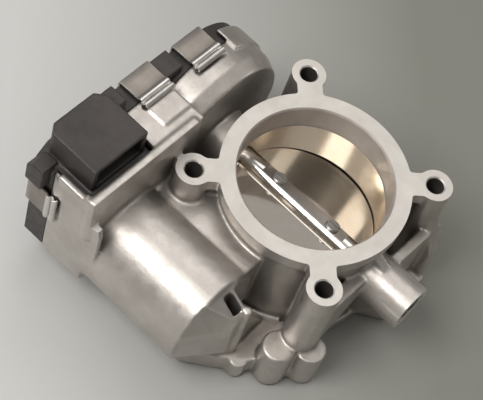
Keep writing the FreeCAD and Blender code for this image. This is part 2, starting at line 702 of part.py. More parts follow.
def tooth_flank(base_radius, half_angle, radius):
    """A point of an involute flank at a radius, measured from the middle of the tooth."""
    roll = math.sqrt(max((radius / base_radius) ** 2 - 1, 0))
    return half_angle - (roll - math.atan(roll))


def gear_face(module, teeth, shift, play):
    """The outline of a spur gear, one tooth centred on +Y of the case, as a flat face at X = 0."""
    angle = math.radians(PRESSURE_ANGLE)
    pitch = module * teeth / 2
    base = pitch * math.cos(angle)
    tip = pitch + module * (1 + shift)
    root = pitch - module * (1.25 - shift)
    half_tooth = (math.pi / 4 + shift * math.tan(angle)) / (teeth / 2) - play / (2 * pitch)
    half_base = half_tooth + math.tan(angle) - angle
    start = max(base, root)
    step = 2 * math.pi / teeth

    def spot(radius, turn):
        return Vector(0, radius * math.cos(turn), radius * math.sin(turn))

    edges = []
    for tooth in range(teeth):
        middle = tooth * step
        radii = (start, (start + tip) / 2, tip)
        down = [spot(r, middle - tooth_flank(base, half_base, r)) for r in radii]
        up = [spot(r, middle + tooth_flank(base, half_base, r)) for r in radii]
        foot_angle = tooth_flank(base, half_base, start)
        if root < start:
            edges.append(Part.LineSegment(spot(root, middle - foot_angle), down[0]).toShape())
        edges.append(Part.Arc(*down).toShape())
        edges.append(Part.Arc(down[2], spot(tip, middle), up[2]).toShape())
        edges.append(Part.Arc(up[2], up[1], up[0]).toShape())
        if root < start:
            edges.append(Part.LineSegment(up[0], spot(root, middle + foot_angle)).toShape())
        edges.append(Part.Arc(spot(root, middle + foot_angle), spot(root, middle + step / 2),
                              spot(root, middle + step - foot_angle)).toShape())
    return Part.Face(Part.Wire(edges))


def gear(module, teeth, shift, play, width, turn):
    """A spur gear along X, starting at X = 0, turned so that a tooth points at an angle."""
    face = gear_face(float(module), int(float(teeth)), shift, play)
    solid = face.extrude(Vector(width, 0, 0))
    solid.rotate(Vector(), Vector(1, 0, 0), math.degrees(turn))
    return solid


def pin_angle():
    """The direction from the throttle shaft to the intermediate pin."""
    return math.atan2(-PIN_Z + float(S["shaft_depth"]), -PIN_Y)


def motor_angle():
    """The direction from the intermediate pin to the motor shaft."""
    return math.atan2(-float(S["motor_z"]) + PIN_Z, -float(S["motor_y"]) + PIN_Y)


def feature(label, name, shape, x, y, z):
    """Keep a computed shape as a sub-part, placed at a point."""
    thing = doc.addObject("Part::Feature", name)
    thing.Shape = shape
    thing.Placement = Placement(Vector(float(x), float(y), float(z)), Rotation())
    return keep(label, thing)


def make_throttle_gear():
    """The toothed sector moulded round a steel insert on the shaft's end."""
    shift = -float(S["tooth_shift"])
    full = gear(S["sector_module"], S["sector_teeth"], shift, float(S["tooth_play"]), 7.0, pin_angle())
    reach = 40.0
    start, end = SECTOR_SPAN
    wedge = Part.makeCylinder(reach, 7.0, Vector(), Vector(1, 0, 0), end - start)
    wedge.rotate(Vector(), Vector(1, 0, 0), start - wedge_start())
    rim = full.common(wedge).cut(Part.makeCylinder(25.5, 7.0, Vector(), Vector(1, 0, 0)))
    web = Part.makeCylinder(26.0, 2.2, Vector(2.2, 0, 0), Vector(1, 0, 0), end - start)
    web.rotate(Vector(), Vector(1, 0, 0), start - wedge_start())
    hub = Part.makeCylinder(12.5, 9.0, Vector(-4.0, 0, 0), Vector(1, 0, 0))
    bore = Part.makeCylinder(8.0, 20.0, Vector(-8.0, 0, 0), Vector(1, 0, 0))
    whole = rim.fuse([web, hub]).cut(bore).removeSplitter()
    feature("throttle_gear", "sector", whole, -60.0, 0, -S["shaft_depth"])


SECTOR_SPAN = (159.0, 268.0)


def wedge_start():
    """The angle at which a cylinder along X begins its sweep, measured from +Y towards +Z."""
    thin = Part.makeCylinder(1.0, 1.0, Vector(), Vector(1, 0, 0), 1.0)
    centre = thin.CenterOfMass
    return math.degrees(math.atan2(centre.z, centre.y)) - 0.5


def make_gear_insert():
    """The steel insert pressed on the shaft's milled end."""
    rest = float(S["closed_angle"]) + float(S["rest_angle"])
    z = -float(S["shaft_depth"])
    radius = float(S["shaft_radius"])
    blank = Part.makeCylinder(8.0, 7.5, Vector(-62.0, 0, 0), Vector(1, 0, 0))
    flat_hole = Part.makeCylinder(radius, 12.0, Vector(-64.0, 0, 0), Vector(1, 0, 0)).common(
        Part.makeBox(12.0, 20.0, 2 * (radius - 1.2), Vector(-64.0, -10.0, -radius + 1.2)))
    flat_hole.rotate(Vector(), Vector(1, 0, 0), -rest)
    feature("gear_insert", "insert", blank.cut(flat_hole), 0, 0, z)


def make_wipers():
    """Two sprung contacts on the gear's hub that slide on the sensor board."""
    z = -S["shaft_depth"]
    arms = [block(f"wiper_{index}", (-67.2, y, z - 9.0), (-64.0, y + 1.2, z - 7.4))
            for index, y in enumerate((-3.0, 2.0))]
    base = ring("wiper_base", 12.0, 6.5, 0.8, -64.8, 0, z)
    keep("wiper_contacts", fuse("wipers", [base] + arms))


def make_intermediate():
    """The two-step intermediate gear and the steel pin that it turns on."""
    play = float(S["tooth_play"])
    shift = float(S["tooth_shift"])
    small_turn = pin_angle() + math.pi + math.pi / float(S["inner_teeth"])
    wheel = gear(S["wheel_module"], S["wheel_teeth"], -shift, play, 4.5, motor_angle())
    small = gear(S["sector_module"], S["inner_teeth"], shift, play, 9.6, small_turn)
    wheel.translate(Vector(-65.6, 0, 0))
    small.translate(Vector(-61.4, 0, 0))
    hub = Part.makeCylinder(5.6, 13.6, Vector(-65.8, 0, 0), Vector(1, 0, 0))
    bore = Part.makeCylinder(2.05, 30.0, Vector(-70.0, 0, 0), Vector(1, 0, 0))
    recess = Part.makeCylinder(15.6, 1.4, Vector(-65.6, 0, 0), Vector(1, 0, 0)).cut(
        Part.makeCylinder(7.2, 1.4, Vector(-65.6, 0, 0), Vector(1, 0, 0)))
    whole = wheel.fuse([small, hub]).cut(bore).cut(recess).removeSplitter()
    feature("intermediate_gear", "intermediate", whole, 0, -PIN_Y, -PIN_Z)
    keep("intermediate_pin", rod("intermediate_axle", 2.0, 23.0, -66.6, -PIN_Y, -PIN_Z))


def make_return_spring():
    """The torsion spring round the inner bearing boss, with a straight leg at each end."""
    pitch = float(S["coil_pitch"])
    turns = float(S["coil_turns"])
    radius = float(S["coil_radius"])
    wire = float(S["wire_radius"])
    helix = Part.makeHelix(pitch, pitch * turns, radius)
    start = helix.Vertexes[0].Point
    section = Part.Wire(Part.makeCircle(wire, start, Vector(0, 1, 0)))
    coil = Part.Wire(helix).makePipeShell([section], True, True)
    legs = [Part.makeCylinder(wire, 4.0, start, Vector(1, 0, 0)),
            Part.makeCylinder(wire, 1.4, helix.Vertexes[-1].Point, Vector(0, 0, 1))]
    whole = coil.fuse(legs).removeSplitter()
    thing = doc.addObject("Part::Feature", "torsion_spring")
    thing.Shape = whole
    seat = float(S["round_floor"]) + 0.2 + wire
    thing.Placement = Placement(Vector(-seat, 0, -float(S["shaft_depth"])), TURNS["-x"])
    keep("return_spring", thing)


# ---------------------------------------------------------------- motor

def motor_rod(name, radius, start, end):
    """A cylinder on the motor's axis."""
    return rod(name, radius, end - start, start, -S["motor_y"], -S["motor_z"])


def motor_ring(name, outer, inner, start, end):
    """A tube on the motor's axis."""
    return ring(name, outer, inner, end - start, start, -S["motor_y"], -S["motor_z"])


def make_motor_shell():
    """The steel can with its two magnets and its end bushes."""
    outer = S["can_radius"]
    inner = outer - S["can_wall"]
    y = -S["motor_y"]
    z = -S["motor_z"]
    blank = fuse("can_blank", [motor_rod("can_outer", outer, -47.0, 1.0),
                               motor_rod("can_nose", 5.0, 0.5, 5.0)])
    keep("motor_can", cut("can", blank, [motor_rod("can_inner", inner, -48.0, -0.3),
                                         motor_rod("can_seat", 3.4, -1.0, 4.2)]))
    split = block("magnet_split", (-60.0, y - 30.0, z - 3.2), (10.0, y + 30.0, z + 3.2))
    arcs = cut("magnet_arcs", motor_ring("magnet_ring", inner - 0.05, 13.3, -39.0, -10.0), [split])
    keep("motor_magnets", arcs)
    bushes = [motor_ring("bush_near", 3.4, S["motor_shaft_radius"] + 0.04, -49.4, -46.4),
              motor_ring("bush_far", 3.4, S["motor_shaft_radius"] + 0.04, 0.4, 3.6)]
    keep("motor_bushes", group("bushes", bushes))
    keep("wave_washer", motor_ring("wave", 14.5, 9.5, 1.2, 1.9))


def make_rotor():
    """The armature: slotted core, windings, commutator, shaft and pinion."""
    y = -float(S["motor_y"])
    z = -float(S["motor_z"])
    slots = []
    for index in range(8):
        slot = block(f"core_slot_{index}", (-38.0, y - 1.1, z + 5.4), (-11.0, y + 1.1, z + 13.5))
        slot.setExpression("Placement.Base.y", None)
        slot.setExpression("Placement.Base.z", None)
        turned(slot, 45.0 * index, 0, y, z)
        slots.append(slot)
    shaft = S["motor_shaft_radius"]
    core = cut("core", motor_ring("core_blank", 12.7, shaft, -37.0, -12.0), slots)
    keep("armature_core", core)
    copper = cut("copper", motor_ring("copper_blank", 11.4, 3.4, -40.4, -8.6),
                 [motor_rod("copper_core", 12.8, -37.0, -12.0)])
    keep("armature_windings", copper)
    keep("commutator", motor_ring("collector", 5.0, shaft, -45.6, -41.0))
    keep("motor_shaft", motor_rod("rotor_shaft", shaft, -65.8, 3.4))
    pinion = gear(S["wheel_module"], S["pinion_teeth"], float(S["tooth_shift"]), float(S["tooth_play"]),
                  5.4, motor_angle() + math.pi + math.pi / float(S["pinion_teeth"]))
    pinion = pinion.cut(Part.makeCylinder(float(shaft), 9.0, Vector(-1, 0, 0), Vector(1, 0, 0)))
    feature("motor_pinion", "pinion", pinion, -66.0, y, z)


def make_motor_end():
    """The brush holder that closes the can, with its brushes, terminals and fixing screws."""
    y = -float(S["motor_y"])
    z = -float(S["motor_z"])
    disc = motor_rod("cap_disc", S["can_radius"], -49.0, -47.0)
    spigot = motor_rod("cap_spigot", S["can_radius"] - S["can_wall"] - 0.05, -47.0, -45.8)
    ears = []
    for index, (ear_y, ear_z) in enumerate(MOTOR_SCREWS):
        ear = rod(f"cap_ear_{index}", 4.0, 5.0, -49.0, ear_y, ear_z)
        room = motor_rod(f"cap_ear_room_{index}", S["can_radius"] + 0.1, -47.0, -43.0)
        ears.append(cut(f"cap_ear_cut_{index}", ear, [room]))
    holes = [rod(f"cap_hole_{index}", 1.7, 8.0, -50.0, ear_y, ear_z)
             for index, (ear_y, ear_z) in enumerate(MOTOR_SCREWS)]
    seat = motor_rod("cap_seat", 3.4, -50.0, -45.0)
    blank = fuse("cap_blank", [disc, spigot] + ears)
    keep("motor_end_cap", cut("cap", blank, [seat] + holes))
    brushes = [block(f"brush_{index}", (-45.0, y - 1.6, z + (5.2 if side > 0 else -9.6)),
                     (-41.6, y + 1.6, z + (9.6 if side > 0 else -5.2)))
               for index, side in enumerate((-1, 1))]
    keep("motor_brushes", group("brushes", brushes))
    blades = [block(f"motor_blade_{index}", (-60.5, -72.4, blade_z - 2.2), (-49.0, -71.6, blade_z + 2.2))
              for index, blade_z in enumerate((-22.0, -36.0))]
    keep("motor_terminals", group("motor_blades", blades))
    screws = []
    for index, (ear_y, ear_z) in enumerate(MOTOR_SCREWS):
        profile = [(0, 0), (3.1, 0), (3.1, 2.2), (1.65, 2.2), (1.65, 9.4), (0, 9.4)]
        screw = spun(f"motor_screw_{index}", profile, -51.2, ear_y, ear_z)
        bit = block(f"motor_screw_slot_{index}", (-52.0, ear_y - 4.0, ear_z - 0.4),
                    (-50.5, ear_y + 4.0, ear_z + 0.4))
        screws.append(cut(f"motor_screw_whole_{index}", screw, [bit]))
    keep("motor_screws", group("motor_screw_pair", screws))


# ---------------------------------------------------------------- build, check and write

def check():
    """Stop if anything failed to build."""
    doc.recompute()
    failed = [item.Label for item in doc.Objects if "Invalid" in item.State or "Error" in item.State]
    if failed:
        raise RuntimeError("failed to build: " + ", ".join(failed))
    for thing in nodes:
        shape = thing.Shape
        if shape.isNull() or not shape.isValid() or not shape.Solids:
            raise RuntimeError("bad shape: " + thing.Label)


def write():
    """Write each sub-part to its own file."""
    os.makedirs("parts", exist_ok=True)
    for thing in nodes:
        shape = thing.Shape
        shape.exportStep(f"parts/{thing.Label}.step")
        print(f"{thing.Label}: {len(shape.Solids)} solid(s), {shape.Volume / 1000:.2f} cm3")


make_housing()
make_shaft()
make_plate()
make_plate_screws()
make_bearings()
make_throttle_gear()
make_gear_insert()
make_wipers()
make_intermediate()
make_return_spring()
make_motor_shell()
make_rotor()
make_motor_end()
make_cover()
make_terminals()
make_sensor_board()
make_gasket()
make_clips()
check()
write()
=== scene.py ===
"""The looks of the electronic throttle body: cast surfaces, machined faces, plastic, steel and light."""
import math

import bmesh
import bpy
from mathutils import Matrix, Vector


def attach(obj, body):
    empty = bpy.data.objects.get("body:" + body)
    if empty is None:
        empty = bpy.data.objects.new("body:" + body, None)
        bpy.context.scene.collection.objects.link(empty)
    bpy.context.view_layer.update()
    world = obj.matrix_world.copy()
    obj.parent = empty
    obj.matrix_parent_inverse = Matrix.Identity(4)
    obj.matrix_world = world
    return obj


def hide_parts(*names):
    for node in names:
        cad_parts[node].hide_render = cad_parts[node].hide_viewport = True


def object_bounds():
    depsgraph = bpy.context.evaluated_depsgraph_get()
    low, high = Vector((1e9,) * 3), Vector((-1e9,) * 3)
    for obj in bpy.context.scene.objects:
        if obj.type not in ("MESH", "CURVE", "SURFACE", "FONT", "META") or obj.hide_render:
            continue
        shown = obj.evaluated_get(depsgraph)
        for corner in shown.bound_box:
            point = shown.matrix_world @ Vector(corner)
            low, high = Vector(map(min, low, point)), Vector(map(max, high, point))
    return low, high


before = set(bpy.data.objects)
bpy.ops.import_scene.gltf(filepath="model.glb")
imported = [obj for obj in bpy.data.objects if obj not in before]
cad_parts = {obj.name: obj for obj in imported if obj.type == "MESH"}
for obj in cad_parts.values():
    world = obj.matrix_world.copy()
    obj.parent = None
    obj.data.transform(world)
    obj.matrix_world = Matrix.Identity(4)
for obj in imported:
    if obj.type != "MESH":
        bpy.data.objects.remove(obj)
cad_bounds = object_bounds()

MM = 0.001

# Sizes of the design, in metres, in the row frame.
THROAT_RADIUS = 30.0 * MM
MOUTH_RADIUS = 30.4 * MM
MOUTH_DEPTH = 11.8 * MM
RING_RADIUS = 37.4 * MM
BOLT_HALF = 33.0 * MM
BOLT_HOLE = 3.5 * MM
EAR_RADIUS = 6.9 * MM
NECK_WIDTH = 10.0 * MM
SHAFT_DEPTH = 25.0 * MM
BOSS_RADIUS = 9.75 * MM
BOSS_END = 57.0 * MM
BEARING_RADIUS = 7.0 * MM
SHAFT_HOLE = 5.15 * MM
REAR = -60.0 * MM
STOCK = 1.6 * MM  # what machining takes off the raw faces
NECK_HEIGHT = 6.4 * MM
BEARING_START = 34.0 * MM
FLANGE_EDGE = -40.4 * MM
CASE_CENTRE_Y = -1.5 * MM
CASE_CENTRE_Z = -23.5 * MM
CASE_RADIUS = 36.0 * MM
BLOCK_TOP = 16.0 * MM
BLOCK_END = -79.0 * MM
COVER_FACE = -71.0 * MM
MOTOR_LINE = (-58.0 * MM, -29.0 * MM)
CLIP_END = -57.2 * MM
CLIP_THICKNESS = 0.75 * MM
LIP_GAP = -59.7  # in millimetres, as the clip's section is
FIRST_LIP = 8  # the place in the section where the rolled lips begin


# ---------------------------------------------------------------- materials

class Look:
    """A material under construction: its node tree, its shader and short ways to add nodes."""

    def __init__(self, name, **values):
        self.material = bpy.data.materials.new(name)
        self.material.use_nodes = True
        self.tree = self.material.node_tree
        self.shader = self.tree.nodes["Principled BSDF"]
        for socket, value in values.items():
            self.shader.inputs[socket.replace("_", " ")].default_value = value
        self.place = self.add("ShaderNodeTexCoord").outputs["Object"]

    def add(self, kind, **settings):
        """A new node with its settings."""
        node = self.tree.nodes.new(kind)
        for key, value in settings.items():
            setattr(node, key, value)
        return node

    def wire(self, source, target):
        """Join an output to an input."""
        self.tree.links.new(source, target)

    def noise(self, scale, detail=4.0, roughness=0.55, stretch=None):
        """A noise pattern, its size in turns per metre, optionally stretched along an axis."""
        node = self.add("ShaderNodeTexNoise")
        node.inputs["Scale"].default_value = scale
        node.inputs["Detail"].default_value = detail
        node.inputs["Roughness"].default_value = roughness
        source = self.place
        if stretch is not None:
            mapping = self.add("ShaderNodeMapping")
            mapping.inputs["Scale"].default_value = stretch
            self.wire(source, mapping.inputs["Vector"])
            source = mapping.outputs["Vector"]
        self.wire(source, node.inputs["Vector"])
        return node.outputs["Fac"]

    def ramp(self, source, low, high, low_value, high_value):
        """A number mapped from one range to another, clamped."""
        node = self.add("ShaderNodeMapRange")
        node.inputs["From Min"].default_value = low
        node.inputs["From Max"].default_value = high
        node.inputs["To Min"].default_value = low_value
        node.inputs["To Max"].default_value = high_value
        self.wire(source, node.inputs["Value"])
        return node.outputs["Result"]

    def mix(self, factor, first, second, blend="MIX"):
        """Two colours mixed: each is a colour or an output."""
        node = self.add("ShaderNodeMix", data_type="RGBA", blend_type=blend)
        self.feed(node.inputs[0], factor)
        self.feed(node.inputs[6], first)
        self.feed(node.inputs[7], second)
        return node.outputs[2]

    def feed(self, socket, source):
        """Give a socket a fixed value or an output."""
        if isinstance(source, (int, float)):
            socket.default_value = source
        elif isinstance(source, tuple):
            socket.default_value = (*source, 1.0)
        else:
            self.wire(source, socket)

    def bump(self, parts):
        """Bumps from several (height, distance in metres, strength) layers, joined in a row."""
        last = None
        for height, distance, strength in parts:
            node = self.add("ShaderNodeBump")
            node.inputs["Distance"].default_value = distance
            node.inputs["Strength"].default_value = strength
            self.wire(height, node.inputs["Height"])
            if last is not None:
                self.wire(last, node.inputs["Normal"])
            last = node.outputs["Normal"]
        self.wire(last, self.shader.inputs["Normal"])

    def colour(self, source):
        self.feed(self.shader.inputs["Base Color"], source)

    def rough(self, source):
        self.feed(self.shader.inputs["Roughness"], source)

    def edges(self):
        """How far the surface stands out: over a half on edges and under it in hollows."""
        return self.add("ShaderNodeNewGeometry").outputs["Pointiness"]

    def hollows(self, reach):
        """One where the surface is open, falling to zero deep in hollows."""
        node = self.add("ShaderNodeAmbientOcclusion", samples=6)
        node.inputs["Distance"].default_value = reach
        return node.outputs["AO"]

    def paint_hollow_shade(self, base, reach, darkest):
        """Paint shade into a colour: darker in hollows narrower than the reach, where shade falls."""
        shade = self.ramp(self.hollows(reach), 0.15, 0.85, darkest, 1.0)
        tone = self.add("ShaderNodeCombineColor")
        for channel in tone.inputs:
            self.wire(shade, channel)
        return self.mix(1.0, base, tone.outputs[0], "MULTIPLY")


def cast_aluminium():
    """Die-cast skin: warm grey metal with soft mottling, fine pitting and painted shade in its hollows."""
    look = Look("cast_aluminium", Metallic=0.86)
    cloud = look.ramp(look.noise(55.0, 5.0), 0.35, 0.65, 0.0, 1.0)
    fine = look.noise(1400.0, 3.0)
    speck = look.ramp(look.noise(900.0, 2.0), 0.60, 0.72, 0.0, 1.0)
    base = look.mix(cloud, (0.50, 0.465, 0.435), (0.60, 0.565, 0.53))
    base = look.mix(look.ramp(speck, 0.0, 1.0, 0.0, 0.35), base, (0.36, 0.33, 0.31))
    # Painted shade: the base colour is darkened in hollows, where shade falls.
    base = look.paint_hollow_shade(base, 0.009, 0.62)
    edge = look.ramp(look.edges(), 0.53, 0.62, 0.0, 0.55)
    look.colour(look.mix(edge, base, (0.82, 0.80, 0.77)))
    look.rough(look.ramp(look.noise(240.0, 3.0), 0.3, 0.7, 0.34, 0.50))
    look.bump([(look.noise(170.0, 3.0), 0.0004, 0.35), (fine, 0.00008, 0.45)])
    return look.material


def machined_face():
    """A milled aluminium face: pale, with fine curved cutter marks."""
    look = Look("machined_face", Metallic=0.45)
    wave = look.add("ShaderNodeTexWave", wave_type="RINGS", rings_direction="Z")
    wave.inputs["Scale"].default_value = 900.0
    wave.inputs["Distortion"].default_value = 1.2
    wave.inputs["Detail"].default_value = 1.0
    look.wire(look.place, wave.inputs["Vector"])
    cloud = look.ramp(look.noise(70.0, 5.0), 0.35, 0.65, 0.0, 1.0)
    look.colour(look.mix(cloud, (0.62, 0.585, 0.545), (0.71, 0.68, 0.64)))
    look.rough(look.ramp(look.noise(300.0), 0.3, 0.7, 0.46, 0.60))
    look.bump([(wave.outputs["Fac"], 0.00003, 0.25), (look.noise(1500.0), 0.00004, 0.3)])
    return look.material


def mouth_skin():
    """The wider entry of the throat: dull, darker and slightly brown."""
    look = Look("mouth_skin", Metallic=0.6)
    cloud = look.ramp(look.noise(90.0, 5.0), 0.35, 0.65, 0.0, 1.0)
    look.colour(look.mix(cloud, (0.40, 0.36, 0.335), (0.48, 0.44, 0.41)))
    look.rough(look.ramp(look.noise(300.0), 0.3, 0.7, 0.48, 0.62))
    look.bump([(look.noise(700.0), 0.0001, 0.4)])
    return look.material


def bored_wall():
    """The finished throat wall: bright turned metal with fine rings and a warm sheen."""
    look = Look("bored_wall", Metallic=1.0)
    rings = look.noise(40.0, 3.0, 0.7, stretch=(1.0, 1.0, 90.0))
    cloud = look.ramp(look.noise(60.0), 0.35, 0.65, 0.0, 1.0)
    look.colour(look.mix(cloud, (0.88, 0.77, 0.63), (0.92, 0.83, 0.71)))
    look.rough(look.ramp(rings, 0.3, 0.7, 0.13, 0.22))
    look.bump([(rings, 0.00003, 0.35)])
    return look.material


def plate_metal():
    """The throttle plate: polished sheet with faint straight grain."""
    look = Look("plate_metal", Metallic=1.0)
    grain = look.noise(30.0, 3.0, 0.6, stretch=(1.0, 40.0, 40.0))
    cloud = look.ramp(look.noise(80.0), 0.35, 0.65, 0.0, 1.0)
    look.colour(look.mix(cloud, (0.90, 0.84, 0.76), (0.95, 0.90, 0.83)))
    look.rough(look.ramp(grain, 0.3, 0.7, 0.05, 0.10))
    look.bump([(grain, 0.00002, 0.3)])
    return look.material


def bright_steel(name="bright_steel", tint=(0.62, 0.61, 0.59), low=0.18, high=0.32,
                 stretch=(60.0, 1.0, 1.0)):
    """Ground or turned steel with fine marks."""
    look = Look(name, Metallic=1.0)
    marks = look.noise(60.0, 3.0, 0.6, stretch=stretch)
    dark = tuple(channel * 0.82 for channel in tint)
    look.colour(look.mix(look.ramp(look.noise(120.0), 0.35, 0.65, 0.0, 1.0), dark, tint))
    look.rough(look.ramp(marks, 0.3, 0.7, low, high))
    look.bump([(marks, 0.00002, 0.3)])
    return look.material


def clip_steel():
    """Rolled stainless strip: satin, slightly pink-grey, with rubbed edges."""
    look = Look("clip_steel", Metallic=0.92)
    grain = look.noise(50.0, 3.0, 0.6, stretch=(1.0, 30.0, 30.0))
    cloud = look.ramp(look.noise(90.0, 4.0), 0.35, 0.65, 0.0, 1.0)
    base = look.mix(cloud, (0.26, 0.235, 0.21), (0.33, 0.30, 0.27))
    edge = look.ramp(look.edges(), 0.52, 0.60, 0.0, 0.7)
    look.colour(look.mix(edge, base, (0.90, 0.88, 0.85)))
    look.rough(look.ramp(grain, 0.3, 0.7, 0.36, 0.50))
    look.bump([(grain, 0.00003, 0.3)])
    return look.material


def black_plastic():
    """Glass-filled moulding: brown-black, matt, finely grained, paler on rubbed edges, with painted shade
    darkening its hollows.
    """
    look = Look("black_plastic", Metallic=0.0)
    cloud = look.ramp(look.noise(60.0, 4.0), 0.35, 0.65, 0.0, 1.0)
    base = look.mix(cloud, (0.033, 0.027, 0.026), (0.048, 0.040, 0.038))
    edge = look.ramp(look.edges(), 0.53, 0.62, 0.0, 0.5)
    # Painted shade: the base colour is darkened in hollows, where shade falls.
    base = look.paint_hollow_shade(base, 0.008, 0.22)
    look.colour(look.mix(edge, base, (0.12, 0.11, 0.105)))
    look.rough(look.ramp(look.noise(400.0), 0.3, 0.7, 0.42, 0.58))
    look.bump([(look.noise(2200.0, 2.0), 0.00006, 0.5), (look.noise(130.0), 0.0002, 0.2)])
    return look.material


def plain_stuff(name, dark, light, metallic, low, high, scale=200.0):
    """A simple material for inner pieces: mottled colour, uneven gloss and a fine grain."""
    look = Look(name, Metallic=metallic)
    cloud = look.ramp(look.noise(scale * 0.4, 4.0), 0.35, 0.65, 0.0, 1.0)
    look.colour(look.mix(cloud, dark, light))
    look.rough(look.ramp(look.noise(scale), 0.3, 0.7, low, high))
    look.bump([(look.noise(scale * 6.0, 2.0), 0.00005, 0.3)])
    return look.material


# ---------------------------------------------------------------- mesh helpers

def new_piece(name, mesh):
    """An object that rides on the housing."""
    piece = bpy.data.objects.new(name, mesh)
    bpy.context.scene.collection.objects.link(piece)
    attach(piece, "housing")
    return piece


def to_mesh(name, bm):
    """A mesh from a finished BMesh, which is freed."""
    mesh = bpy.data.meshes.new(name)
    bm.to_mesh(mesh)
    bm.free()
    return mesh


def add_rod(bm, radius, start, end, far_radius=None, steps=96):
    """A closed cylinder or cone between two points."""
    start = Vector(start)
    end = Vector(end)
    way = end - start
    turn = way.to_track_quat("Z", "Y").to_matrix().to_4x4()
    spot = Matrix.Translation((start + end) / 2) @ turn
    bmesh.ops.create_cone(bm, cap_ends=True, cap_tris=False, segments=steps, radius1=radius,
                          radius2=radius if far_radius is None else far_radius,
                          depth=way.length, matrix=spot)


def add_box(bm, low, high, turn=None):
    """A closed box between two corners, optionally turned about its centre."""
    low = Vector(low)
    high = Vector(high)
    spot = Matrix.Translation((low + high) / 2)
    if turn is not None:
        spot = spot @ turn.to_4x4()
    size = high - low
    bmesh.ops.create_cube(bm, size=1.0, matrix=spot @ Matrix.Diagonal((*size, 1.0)))


def apply_all(obj):
    """Put the mesh that an object's modifiers make in place of its own, and clear them."""
    graph = bpy.context.evaluated_depsgraph_get()
    mesh = bpy.data.meshes.new_from_object(obj.evaluated_get(graph))
    obj.modifiers.clear()
    obj.data = mesh


def soften(obj, voxel, passes, keep_faces):
    """Rebuild a shape on a fine grid and smooth it, so that every edge and corner gets a cast radius."""
    remesh = obj.modifiers.new("remesh", "REMESH")
    remesh.mode = "VOXEL"
    remesh.voxel_size = voxel
    smooth = obj.modifiers.new("smooth", "SMOOTH")
    smooth.factor = 0.5
    smooth.iterations = passes
    thin = obj.modifiers.new("thin", "DECIMATE")
    thin.ratio = keep_faces
    apply_all(obj)


def carve(obj, tools):
    """Cut exact machined shapes out of a softened one, each by a function that fills a mesh."""
    cutters = []
    for fill in tools:
        bm = bmesh.new()
        fill(bm)
        cutter = bpy.data.objects.new("cutter", to_mesh("cutter", bm))
        bpy.context.scene.collection.objects.link(cutter)
        machine = obj.modifiers.new("machine", "BOOLEAN")
        machine.operation = "DIFFERENCE"
        machine.solver = "MANIFOLD"
        machine.object = cutter
        cutters.append(cutter)
    apply_all(obj)
    for cutter in cutters:
        bpy.data.objects.remove(cutter)


def finish_faces(mesh, angle=35.0):
    """Smooth shading that stays crisp on real edges."""
    mesh.shade_smooth()
    mesh.set_sharp_from_angle(angle=math.radians(angle))


# ---------------------------------------------------------------- the casting

def corners():
    """The four bolt places."""
    return [(across * BOLT_HALF, along * BOLT_HALF) for across in (-1, 1) for along in (-1, 1)]


def add_case_pads(bm):
    """The flat pad beside the first clip, and the web that fills the nook between barrel and case."""
    pad_low = Vector((CLIP_END + 0.4 * MM, -37.0 * MM, BLOCK_TOP - 4 * MM))
    pad_high = Vector((-47.6 * MM, -23.0 * MM, BLOCK_TOP + 0.9 * MM))
    add_box(bm, pad_low, pad_high)
    add_box(bm, Vector((-42.0, -43.6, -17.0)) * MM, Vector((-37.9, -40.5, -13.3)) * MM)


def fill_blank(bm):
    """What a raw casting has before machining: stock on the faces and no bores."""
    bm.from_mesh(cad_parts["throttle_housing"].data)
    add_rod(bm, MOUTH_RADIUS + 1.0 * MM, (0, 0, REAR + 0.2 * MM), (0, 0, STOCK))
    add_rod(bm, RING_RADIUS, (0, 0, -3.0 * MM), (0, 0, STOCK))
    for x, y in corners():
        add_rod(bm, EAR_RADIUS, (x, y, -3.0 * MM), (x, y, STOCK), steps=48)
        add_rod(bm, BOLT_HOLE + 0.4 * MM, (x, y, REAR + 0.2 * MM), (x, y, STOCK), steps=48)
        neck = Matrix.Rotation(math.atan2(y, x), 3, "Z")
        middle = Vector((x, y, 0)) * 0.85
        half = Vector((6.5 * MM, NECK_WIDTH / 2, 0))
        low = middle - half - Vector((0, 0, NECK_HEIGHT))
        high = middle + half + Vector((0, 0, STOCK))
        add_box(bm, low, high, neck)
    add_case_pads(bm)
    boss_face = (BOSS_END + STOCK, 0, -SHAFT_DEPTH)
    add_rod(bm, BOSS_RADIUS, (BOSS_END - 8 * MM, 0, -SHAFT_DEPTH), boss_face)
    add_rod(bm, BEARING_RADIUS + 0.4 * MM, (BEARING_START, 0, -SHAFT_DEPTH), boss_face)


def box_tool(low, high):
    """A function that adds one box to a mesh."""
    return lambda bm: add_box(bm, low, high)


def rod_tool(radius, start, end, far_radius=None, steps=96):
    """A function that adds one cylinder or cone to a mesh."""
    return lambda bm: add_rod(bm, radius, start, end, far_radius, steps)


def machining():
    """Everything a machine tool takes off the casting."""
    reach = 90 * MM
    shaft = -SHAFT_DEPTH
    side = 15 * MM
    tools = [
        box_tool((FLANGE_EDGE, -reach, 0), (reach, reach, 20 * MM)),
        rod_tool(MOUTH_RADIUS, (0, 0, -MOUTH_DEPTH), (0, 0, 10 * MM), steps=160),
        rod_tool(THROAT_RADIUS, (0, 0, REAR - 10 * MM), (0, 0, 5 * MM), steps=160),
        rod_tool(MOUTH_RADIUS - 1.0 * MM, (0, 0, -1.6 * MM), (0, 0, 1.0 * MM), MOUTH_RADIUS + 1.6 * MM, 160),
        box_tool((BOSS_END, -side, shaft - side), (BOSS_END + 20 * MM, side, shaft + side)),
        rod_tool(BEARING_RADIUS, (BEARING_START, 0, shaft), (BOSS_END + 5 * MM, 0, shaft)),
        rod_tool(SHAFT_HOLE, (-60 * MM, 0, shaft), (60 * MM, 0, shaft), steps=64),
    ]
    for x, y in corners():
        tools.append(rod_tool(BOLT_HOLE, (x, y, REAR - 10 * MM), (x, y, 5 * MM), steps=64))
        chamfer = ((x, y, -1.0 * MM), (x, y, 0.6 * MM), BOLT_HOLE + 1.1 * MM)
        tools.append(rod_tool(BOLT_HOLE - 0.5 * MM, *chamfer, 64))
    return tools


